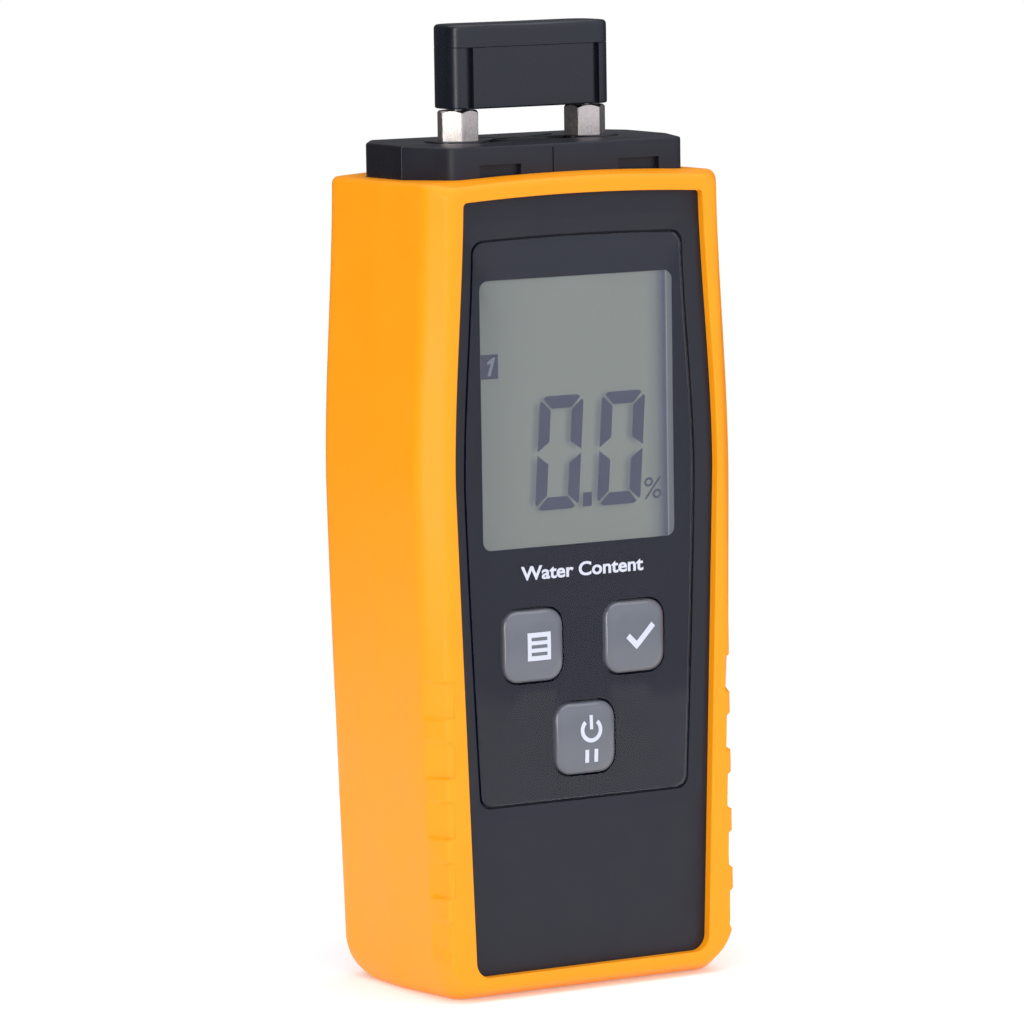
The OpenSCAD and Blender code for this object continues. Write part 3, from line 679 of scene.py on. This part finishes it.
# The lens sheet, and the print behind it: both have the keys' holes, and the print leaves the window clear
def makeLens(look):
    common = {"arch": look["arch"], "steps": (10, 8, 60)}
    rings = [frontLoop(lensShape, y, lensLow[2], lensHigh[2] - 0.35, look["corner"], look["corner"],
                       **common) for y in (lensHigh[1], lensLow[1])]
    lens = solidPiece("windowLens", rings, [look["edge"], look["edge"]], [1])
    rings = [frontLoop(lensShape, y, lensLow[2] + 0.15, lensHigh[2] - 0.5, look["corner"], look["corner"],
                       inset=0.15, **common) for y in (lensHigh[1] + look["inkDepth"], lensHigh[1] - 0.03)]
    ink = solidPiece("lensPrint", rings, [0, 0], [1])
    for place in keyLook["places"].values():
        boolean(lens, keyHole(place, (-20, -10)))
        boolean(ink, keyHole(place, (-20, -10)))
    window = [rectLoop((0, look["windowMid"]), look["windowSize"], look["windowRadius"], y, (4, 8, 4))
              for y in (-20, -10)]
    boolean(ink, solidPiece("window", window, [0, 0], [1]))
    return lens, ink


windowLens, lensPrint = makeLens(lensLook)
wear(windowLens, lensAcrylic, "meter", "lens_acrylic", "window_lens")
windowLens.visible_shadow = False
wear(lensPrint, borderInk, "meter", "lens_acrylic")
print("lens made")

digitLook = {"centres": (-3.5, 8.0), "midZ": 86.75, "size": (8.1, 18.2), "stroke": 2.1, "gap": 0.2,
             "slant": 0.068, "corner": 1.0}


# One seven-segment figure nought: six mitred bars round a box, each an outline with straight ends cut on
# the slant; points are in the figure's own upright axes and lean over by the slant
def segmentOutlines(look):
    w, h, s, g = look["size"][0] / 2, look["size"][1] / 2, look["stroke"], look["gap"]
    c = look["corner"]
    top = [(-w + c + g, h), (w - c - g, h), (w - c * 0.45 - g, h - c * 0.35),
           (w - s - g * 0.6, h - s + g * 0.4), (-w + s + g * 0.6, h - s + g * 0.4),
           (-w + c * 0.45 + g, h - c * 0.35)]
    side = [(w, h - c - g * 0.5), (w - c * 0.3, h - c * 0.5 - g * 1.2), (w - s, h - s - g * 1.1),
            (w - s, s * 0.85), (w, g * 1.4)]
    outlines = []
    for flipX, flipZ in ((1, 1), (-1, 1), (1, -1), (-1, -1)):
        outlines.append(np.array(side) * (flipX, flipZ))
    outlines += [np.array(top), np.array(top) * (1, -1)]
    return outlines


# True where a line to the right crosses the outline an odd number of times
def insideOutline(x, z, outline):
    inside = np.zeros(x.shape, bool)
    for (x0, z0), (x1, z1) in zip(outline, np.roll(outline, -1, 0)):
        crosses = (z0 > z) != (z1 > z)
        reach = x0 + (z - z0) * (x1 - x0) / (z1 - z0 + 1e-12)
        inside ^= crosses & (x < reach)
    return inside


def displayShapes():
    shapes = []
    for centre in digitLook["centres"]:
        for outline in segmentOutlines(digitLook):
            lean = outline[:, 1] * digitLook["slant"]
            shapes.append(np.column_stack([outline[:, 0] + lean + centre,
                                           outline[:, 1] + digitLook["midZ"]]))
    shapes.append(np.array([(0.75, 77.75), (2.35, 77.75), (2.45, 80.0), (0.85, 80.0)]))
    return shapes


# Points in mm and faces become a flat-shaded closed mesh in metres, with its faces turned outwards
def facetedPiece(name, points, faces, shade=None):
    mesh = bpy.data.meshes.new(name)
    mesh.from_pydata((points * mm).tolist(), [], faces)
    if shade is not None:
        mesh.attributes.new("shade", "FLOAT", "POINT").data.foreach_set("value", shade.astype(np.float32))
    work = bmesh.new()
    work.from_mesh(mesh)
    bmesh.ops.recalc_face_normals(work, faces=work.faces)
    work.to_mesh(mesh)
    work.free()
    piece = bpy.data.objects.new(name, mesh)
    scene.collection.objects.link(piece)
    return piece


# Thin plates of liquid crystal: each outline is one face in front and one behind, with walls between
def makeFlatShapes(name, shapes, y, depth, body, material, slot):
    points, faces = [], []
    for shape in shapes:
        n, start = len(shape), sum(len(p) for p in points)
        for level in (y, y + depth):
            points.append(np.column_stack([shape[:, 0], np.full(n, level), shape[:, 1]]))
        ring = np.arange(n)
        faces.append([(start + ring).tolist(), (start + n + ring[::-1]).tolist()])
        faces.append(np.stack([start + ring, start + (ring + 1) % n, start + n + (ring + 1) % n,
                               start + n + ring], -1).tolist())
    piece = facetedPiece(name, np.concatenate(points), [f for group in faces for f in group])
    return wear(piece, material, body, slot)


# Twisted-nematic cell on a grey reflector: the reading is violet grey, its soft shadow falls to the left as
# a painted shadow. Towards the right edge the colour is painted darker as shade, crossed by a thin painted
# highlight line where the glass edge catches the light
def displayField():
    material, tree, shader, place = startMaterial("displayField", {
        "IOR": 1.5, "Roughness": 0.35, "Specular IOR Level": 0.2})
    split = addNode(tree, "ShaderNodeSeparateXYZ", None, {"Vector": (place, "Object")})
    cloud = addNode(tree, "ShaderNodeTexNoise", {"Scale": 1 / (18 * mm), "Detail": 2.0},
                    {"Vector": (place, "Object")})
    base = addNode(tree, "ShaderNodeMix",
                   {"data_type": "RGBA", 6: hexColour("#85887B"), 7: hexColour("#8A8D82")},
                   {0: (cloud, "Fac")})
    # Painted shade and a painted highlight at the display's right edge: from 12 mm to 18 mm across, the
    # ramp darkens the colour, pushes it lighter than the base for a thin highlight line, then darkens it
    # again
    across = addNode(tree, "ShaderNodeMapRange", {"From Min": 12 * mm, "From Max": 18 * mm},
                     {"Value": (split, "X")})
    side = addNode(tree, "ShaderNodeValToRGB", None, {0: (across, "Result")})
    side.color_ramp.elements.remove(side.color_ramp.elements[1])
    for share, level in ((0.12, 0.0), (0.45, 0.3), (0.7, 1.0), (0.765, 0.9), (0.78, -0.3), (0.8, -0.2),
                         (0.82, 0.55), (1.0, 0.7)):
        stop = side.color_ramp.elements.new(share)
        stop.color = (level, level, level, 1)
    # Colour of that painted edge shade; ramp levels below zero push the colour lighter, giving the painted
    # highlight line
    edge = addNode(tree, "ShaderNodeMix",
                   {"data_type": "RGBA", "clamp_factor": False, 7: hexColour("#454B5E")},
                   {0: (side, "Color"), 6: (base, 2)})
    shade = addNode(tree, "ShaderNodeAttribute", {"attribute_name": "shade"})
    shadow = addNode(tree, "ShaderNodeMix", {"data_type": "RGBA", 7: hexColour("#44485A")},
                     {0: (shade, "Fac"), 6: (edge, 2)})
    tree.links.new(shadow.outputs[2], shader.inputs["Base Color"])
    return material


# The display glass: a block whose front is a fine grid that carries how far each point lies in the
# reading's shadow, from the outlines' mask blurred by a Gaussian and pushed to the left
def makeDisplay():
    stepMm, blurMm, shiftMm, strength = 0.2, 0.3, (-1.0, -0.1), 0.5
    x = np.arange(glassLow[0], glassHigh[0] + stepMm / 2, stepMm)
    z = np.arange(glassLow[2], glassHigh[2] + stepMm / 2, stepMm)
    gridX, gridZ = np.meshgrid(x, z)
    mask = np.zeros(gridX.shape)
    for shape in displayShapes():
        mask = np.maximum(mask, insideOutline(gridX - shiftMm[0], gridZ - shiftMm[1], shape))
    reach = np.arange(-6, 7) * stepMm
    kernel = np.exp(-(reach / blurMm) ** 2 / 2)
    kernel /= kernel.sum()
    for axis in (0, 1):
        mask = np.apply_along_axis(lambda row: np.convolve(row, kernel, "same"), axis, mask)
    front = np.stack([gridX, np.full(gridX.shape, glassLow[1]), gridZ], -1)
    rows, columns = gridX.shape
    r, c = np.arange(rows - 1)[:, None], np.arange(columns - 1)[None]
    faces = np.stack([r * columns + c, r * columns + c + 1, (r + 1) * columns + c + 1,
                      (r + 1) * columns + c], -1).reshape(-1, 4)
    rim = np.concatenate([np.arange(columns), np.arange(1, rows) * columns + columns - 1,
                          (rows - 1) * columns + np.arange(columns - 2, -1, -1),
                          np.arange(rows - 2, 0, -1) * columns])
    points = front.reshape(-1, 3)
    back = points[rim] * (1, 0, 1) + (0, glassHigh[1], 0)
    start = len(points)
    n = len(rim)
    k = np.arange(n)
    walls = np.stack([rim, start + k, start + (k + 1) % n, rim[(k + 1) % n]], -1)
    points = np.concatenate([points, back])
    faces = faces.tolist() + walls.tolist() + [(start + k[::-1]).tolist()]
    return facetedPiece("displayGlass", points, faces,
                        np.concatenate([mask.ravel() * strength, np.zeros(n)]))


wear(makeDisplay(), displayField(), "meter", "display_glass", "lcd_glass")
# Liquid crystal left clear inside a dark field: the reflector's own grey
paleCrystal = moulded("paleCrystal", {
    "colour": "#7E8488", "second": "#868C90", "mottleMm": 3, "grainMm": 0.4, "rough": (0.4, 0.5),
    "bump": 0.0})
# Liquid crystal switched on: violet grey and flat
darkCrystal = moulded("darkCrystal", {
    "colour": "#3F4053", "second": "#444558", "mottleMm": 3, "grainMm": 0.4, "rough": (0.4, 0.5),
    "bump": 0.02, "extra": {"Specular IOR Level": 0.1}})
inkY = glassLow[1] - 0.02
makeFlatShapes("displayReading", displayShapes(), inkY, 0.015, "meter", darkCrystal, "display_glass")
print("display made")

# The figure one: a leaning stroke with a flag
oneOutline = [(-0.5, 0), (0.05, 0), (0.95, 2.9), (0.5, 2.9), (-0.55, 2.15), (-0.45, 1.75), (0.15, 2.1)]

textLook = {
    "titlePrint": {"text": "Water Content", "place": (0.05, 67.9), "size": (22.8, 2.3), "bold": 0.025,
                   "slant": 0},
    "percentSign": {"text": "%", "place": (13.85, 79.85), "size": (3.2, 3.5), "bold": 0, "slant": 0.1},
}
inkDepth = 0.03


# Lettering: the built-in face, thickened, as a mesh stretched to its size on a flat surface
def makeText(name, look, y, material):
    curve = bpy.data.curves.new(name, "FONT")
    curve.body, curve.offset, curve.resolution_u, curve.shear = look["text"], look["bold"], 6, look["slant"]
    curve.extrude = 0
    holder = bpy.data.objects.new(name, curve)
    scene.collection.objects.link(holder)
    mesh = bpy.data.meshes.new_from_object(holder.evaluated_get(bpy.context.evaluated_depsgraph_get()))
    bpy.data.objects.remove(holder)
    flat = np.zeros(len(mesh.vertices) * 3)
    mesh.vertices.foreach_get("co", flat)
    flat = flat.reshape(-1, 3)
    low, high = flat.min(0), flat.max(0)
    x, z = ((flat[:, k] - (low[k] + high[k]) / 2) / (high[k] - low[k]) * look["size"][k] + look["place"][k]
            for k in (0, 1))
    mesh.vertices.foreach_set("co", (np.column_stack([x, np.full_like(x, y), z]) * mm).ravel())
    piece = bpy.data.objects.new(name, mesh)
    scene.collection.objects.link(piece)
    return inkPiece(piece, material, "meter")


# Ink lies on the surface with its own small thickness
def inkPiece(piece, material, body):
    piece.data.shade_flat()
    solid = piece.modifiers.new("ink", "SOLIDIFY")
    solid.thickness, solid.offset = inkDepth * mm, 0
    return wear(piece, material, body)


def onKey(name):
    place = keyLook["places"][name]
    low = boxMm("button_" + name)[0][1]
    return lambda x, z: low + crownDrop(x - place[0], z - place[1], keyLook) - 0.02


# A printed patch: a grid of front-view places laid on a surface
def makePatch(name, x, z, y, depthAt, material, body):
    grid = np.stack([x, y + depthAt(x, z) + 0 * x, z], -1)
    patch = addPiece(name, grid, gridFaces(*grid.shape[:2], False, False))
    return inkPiece(patch, material, body)


def plateGrid(middle, size):
    return np.meshgrid(middle[0] + size[0] * np.linspace(-0.5, 0.5, 13),
                       middle[1] + size[1] * np.linspace(-0.5, 0.5, 13))


def ringGrid(middle, radii, gapDegrees):
    turn, radius = np.meshgrid(np.radians(np.linspace(90 + gapDegrees / 2, 450 - gapDegrees / 2, 65)),
                               radii)
    return middle[0] + radius * np.cos(turn), middle[1] + radius * np.sin(turn)


# A stroke of even width along a bent line: the ends go out square, the bend along the mitre of its two
# legs
def strokeGrid(middle, path, width):
    path = np.array(path, float)
    legs = np.diff(path, axis=0)
    legs /= np.linalg.norm(legs, axis=1)[:, None]
    square = np.stack([-legs[:, 1], legs[:, 0]], -1)
    mitre = np.array([square[0], (square[0] + square[1]) / (1 + square[0] @ square[1]), square[1]])
    along, across = np.meshgrid(np.linspace(0, 2, 17), np.linspace(-0.5, 0.5, 5) * width)
    return [middle[k] + np.interp(along, range(3), path[:, k])
            + across * np.interp(along, range(3), mitre[:, k]) for k in (0, 1)]


legendLook = {"lift": 0.03, "across": 0.5, "plate": (4.3, 4.5), "stripe": (2.9, 0.55), "stripeStep": 1.2,
              "tick": ((-2.4, 0.3), (-0.8, -1.3), (2.4, 1.9)), "tickWidth": 0.95, "ringUp": 1.35,
              "ring": (1.35, 2.02), "ringGap": 80, "bar": (0.6, 2.3), "barUp": 1.25, "pause": (0.7, 2.1),
              "pauseStep": 0.85, "pauseDown": 2.85}


# Plain signs on the keys: stripes in a plate for the mode, a tick to set, the on sign over a pause sign
# to hold
def makeLegends(look):
    lift, across = look["lift"], look["across"]
    mode, setKey, power = (np.array(keyLook["places"][k]) + (across, 0) for k in ("mode", "set", "power"))
    middle = power + (0, look["ringUp"])

    def sign(name, grid, key, layers=1, material=whiteInk):
        makePatch(name, *grid, -layers * lift, onKey(key), material, key + "_key")

    sign("modePlate", plateGrid(mode, look["plate"]), "mode")
    for k in (-1, 0, 1):
        stripe = plateGrid(mode + (0, k * look["stripeStep"]), look["stripe"])
        sign("modeStripe" + str(k + 2), stripe, "mode", 2, keyPlastic)
    sign("setTick", strokeGrid(setKey, look["tick"], look["tickWidth"]), "set")
    sign("powerRing", ringGrid(middle, look["ring"], look["ringGap"]), "power")
    sign("powerBar", plateGrid(middle + (0, look["barUp"]), look["bar"]), "power")
    for name, side in (("Left", -1), ("Right", 1)):
        place = power + (side * look["pauseStep"], -look["pauseDown"])
        sign("pauseBar" + name, plateGrid(place, look["pause"]), "power")


makeText("titlePrint", textLook["titlePrint"], lensLow[1] - 0.02, whiteInk)
makeLegends(legendLook)
makeText("percentSign", textLook["percentSign"], inkY, darkCrystal)
makePatch("numberPlate", *plateGrid((-16.1, 101.2), (3.1, 3.9)), inkY, lambda x, z: 0, darkCrystal, "meter")
makeFlatShapes("numberOne", [np.array(oneOutline) + (-16.0, 99.75)], inkY - 0.05, 0.015, "meter",
               paleCrystal, "display_glass")
print("legends made")

capLook = {"corner": 3.6, "edge": 0.8, "wall": 1.3, "slotX": (-12.0, 11.4), "slotWidth": 1.25,
           "slotHeight": 9.8, "slotDepth": 0.95, "lineDepth": 0.07}


# Pin cap: an upturned box, its skin lofted from the roof's middle down the outside, round the mouth and
# up the inside
def makeCap(look):
    low, high = capLow, capHigh

    def ring(z, inset, shrink=1.0):
        w, d = (high[0] - low[0]) / 2 - inset, (high[1] - low[1]) / 2 - inset
        plan = np.array([(-w, -d), (w, -d), (w, d), (-w, d)]) * shrink
        loop = planLoop(plan, max(look["corner"] - inset, 0.4) * shrink, z, arc=10, span=12)
        return loop + np.array([0, pinY, 0])

    line, groove = low[2] + look["slotHeight"], look["lineDepth"]
    rings = [ring(high[2], 0, 0.001), ring(high[2], 0), ring(line + groove, 0), ring(line, groove),
             ring(line - groove, 0), ring(low[2], 0), ring(low[2], look["wall"]),
             ring(high[2] - look["wall"], look["wall"]), ring(high[2] - look["wall"], look["wall"], 0.001)]
    grid = loft(rings, [0, look["edge"], 0, 0, 0, 0.35, 0.2, 0.3, 0], [6, 3, 1, 1, 6, 1, 3, 3], arc=6)
    cap = gridPiece("pinCap", grid)
    for x in look["slotX"]:
        for y in (low[1] - 1, high[1] - look["slotDepth"]):
            boolean(cap, block("slot", (x - look["slotWidth"] / 2, x + look["slotWidth"] / 2),
                               (y, y + 1 + look["slotDepth"]), (low[2] - 1, low[2] + look["slotHeight"])))
    return cap


wear(makeCap(capLook), capAbs, "cap", "cap_abs", "pin_cap")
print("cap made")

doorLook = {"corner": 1.1, "backEdge": 0.15, "edge": 0.35, "ribs": 5, "ribTop": 11, "ribStep": 1.8,
            "ribHalf": 4}


def makeDoor(look):
    mid = (0, (doorLow[2] + doorHigh[2]) / 2)
    size = (doorHigh[0] - doorLow[0], doorHigh[2] - doorLow[2])
    rings = [rectLoop(mid, size, look["corner"], y, (8, 6, 12)) for y in (doorLow[1], doorHigh[1])]
    door = solidPiece("batteryDoor", rings, [look["backEdge"], look["edge"]], [1])
    for k in range(look["ribs"]):
        z = doorHigh[2] - look["ribTop"] + look["ribStep"] * k
        boolean(door, block("rib", (-look["ribHalf"], look["ribHalf"]), (doorHigh[1] - 0.5, 30),
                            (z, z + 1)))
    return door


wear(makeDoor(doorLook), satinAbs, "door", "case_abs", "battery_door")
print("door made")

carrierLook = {"flange": 0.9, "flangeZ": (-4.6, -2.1), "proud": 0.25, "edge": 0.2, "fit": 0.05}


# Electrode carrier: the bone-shaped block stands a little proud of the head, with a flange inside and a
# bore for each socket
def makeCarrier(look):
    low, high = boxMm("electrode_carrier")
    bushLow, bushHigh = boxMm("threaded_sockets")
    lower, upper = (headTop + level for level in look["flangeZ"])
    rings = [boneRing(low[2], 0), boneRing(lower, 0), boneRing(lower, look["flange"]),
             boneRing(upper, look["flange"]), boneRing(upper, 0), boneRing(high[2] + look["proud"], 0)]
    carrier = solidPiece("electrodeCarrier", rings, [0, 0, 0, 0, 0, look["edge"]], [1, 1, 1, 1, 2])
    radius = (bushHigh[1] - bushLow[1]) / 2 + look["fit"]
    turn = np.linspace(0, 2 * math.pi, 48, endpoint=False)
    for x in (bushLow[0] + radius - look["fit"], bushHigh[0] - radius + look["fit"]):
        bore = [np.column_stack([x + radius * np.cos(turn), pinY + radius * np.sin(turn),
                                 np.full(48, level)]) for level in (low[2] - 1, bushHigh[2] + look["fit"])]
        boolean(carrier, solidPiece("bore", bore, [0, 0], [1]))
    return carrier


wear(makeCarrier(carrierLook), satinAbs, "meter", "case_abs", "electrode_carrier")

collarLook = {"turn": {"left": 12.3, "right": -17.1}, "acrossFlats": 6, "chamfer": 42, "start": 1.0}


# Hexagon collar: a hexagon's outline, flat / cos(angle from the flat's middle), whose ends are turned to
# a shallow cone
def makeCollar(side, look):
    low, high = boxMm("hex_collar_" + side)
    middle = ((low[0] + high[0]) / 2, pinY)
    turn = np.linspace(0, 2 * math.pi, 6 * 24 + 1)
    fromFlat = (turn - math.radians(30)) % math.radians(60) - math.radians(30)
    flatHalf = look["acrossFlats"] / 2
    corner = flatHalf / math.cos(math.radians(30))
    reach = np.minimum(flatHalf / np.cos(fromFlat), corner * 0.985)
    flatEnd = np.minimum(reach, flatHalf * look["start"])
    drop = (reach - flatEnd) * math.tan(math.radians(look["chamfer"]))
    rows = [(0 * reach, low[2] + 0 * drop), (flatEnd, low[2] + 0 * drop), (reach, low[2] + drop),
            (reach, high[2] - drop), (flatEnd, high[2] + 0 * drop), (0 * reach, high[2] + 0 * drop)]
    angle = turn + math.radians(look["turn"][side]) - math.radians(30)
    grid = np.stack([np.column_stack([middle[0] + r * np.cos(angle), middle[1] + r * np.sin(angle), z])
                     for r, z in rows])
    return gridPiece("hexCollar" + side.capitalize(), grid, angle=14)


for pinSide in ("left", "right"):
    wear(makeCollar(pinSide, collarLook), nickelPlate, "meter", "nickel_plate", "hex_collar_" + pinSide)

# the frame's own pieces keep their shapes and get their finishes
finishes = (
    (groundSteel, ("needle_left", "needle_right")),
    (turnedBrass, ("threaded_sockets",)),
    (redPvc, ("electrode_leads", "battery_leads")),
    (zincPlate, ("case_screws", "board_screws", "contact_plates", "contact_springs")),
    (cellSleeve, ("battery_left", "battery_right")),
    (solderMask, ("main_board",)),
    (blackEpoxy, ("board_chips", "switch_bodies")),
    (whitePlastic, ("lcd_frame", "light_guide", "plunger_mode", "plunger_set", "plunger_power")),
    (stripSilicone, ("contact_strips",)),
)
for material, nodeNames in finishes:
    for nodeName in nodeNames:
        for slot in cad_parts[nodeName].material_slots:
            slot.material = material
print("frame pieces finished")

stageLook = {"floor": "#FAFAFA", "floorRadius": 320, "below": 0.8, "front": (0.02, -0.95, 0.31),
             "bright": 1.26, "dim": 0.12, "cool": (0.93, 0.96, 1.08, 1), "glow": 0.22}


# Studio: a pale round floor, and soft surroundings that are brightest on the camera's side and dimmer to
# the sides and behind, by a smooth step of the cosine from the front. The backdrop itself is white
def makeStage(look):
    turn, radius = np.meshgrid(np.linspace(0, 2 * math.pi, 97), np.linspace(0, look["floorRadius"], 4))
    floor = gridPiece("floor", np.stack([radius * np.cos(turn), radius * np.sin(turn), 0 * turn], -1))
    if floor.data.polygons[0].normal.z < 0:
        floor.data.flip_normals()
    floor.data.materials.append(moulded("paleFloor", {
        "colour": look["floor"], "second": "#F6F6F6", "mottleMm": 400, "grainMm": 2, "rough": (0.7, 0.8),
        "bump": 0.0, "ior": 1.3,
        "extra": {"Emission Color": (1, 1, 1, 1), "Emission Strength": look["glow"]}}))
    world = bpy.data.worlds.new("studio")
    scene.world = world
    world.use_nodes = True
    tree = world.node_tree
    tree.nodes.clear()
    place = addNode(tree, "ShaderNodeTexCoord")
    front = addNode(tree, "ShaderNodeVectorMath", {"operation": "DOT_PRODUCT", 1: look["front"]},
                    {0: (place, "Generated")})
    fall = addNode(tree, "ShaderNodeMapRange",
                   {"interpolation_type": "SMOOTHSTEP", "From Min": -0.25, "From Max": 0.85,
                    "To Min": look["dim"], "To Max": look["bright"]}, {"Value": (front, "Value")})
    split = addNode(tree, "ShaderNodeSeparateXYZ", None, {"Vector": (place, "Generated")})
    horizon = addNode(tree, "ShaderNodeMapRange",
                      {"interpolation_type": "SMOOTHSTEP", "From Min": -0.07, "From Max": 0.03,
                       "To Min": look["below"], "To Max": 1.0}, {"Value": (split, "Z")})
    level = addNode(tree, "ShaderNodeMath", {"operation": "MULTIPLY"},
                    {0: (fall, "Result"), 1: (horizon, "Result")})
    soft = addNode(tree, "ShaderNodeBackground", {"Color": look["cool"]}, {"Strength": (level, 0)})
    plain = addNode(tree, "ShaderNodeBackground", {"Color": (1, 1, 1, 1), "Strength": 1.0})
    path = addNode(tree, "ShaderNodeLightPath")
    mix = addNode(tree, "ShaderNodeMixShader", None,
                  {0: (path, "Is Camera Ray"), 1: (soft, 0), 2: (plain, 0)})
    addNode(tree, "ShaderNodeOutputWorld", None, {"Surface": (mix, 0)})


def softBox(name, place, aim, size, power):
    data = bpy.data.lights.new(name, "AREA")
    data.shape, data.size, data.size_y, data.energy = "RECTANGLE", size[0], size[1], power
    light = bpy.data.objects.new(name, data)
    scene.collection.objects.link(light)
    way = np.array(place) - np.array(aim)
    light.location = place
    light.rotation_mode = "QUATERNION"
    light.rotation_quaternion = Vector(way).to_track_quat("Z", "Y")


makeStage(stageLook)
softBox("topLight", (0, 0.3, 1.7), (0, 0.2, 0), (2.4, 2.4), 22)
softBox("sideLight", (-1.15, -0.35, 0.25), (0, 0, 0.25), (0.26, 1.3), 6)
print("stage and lights made")
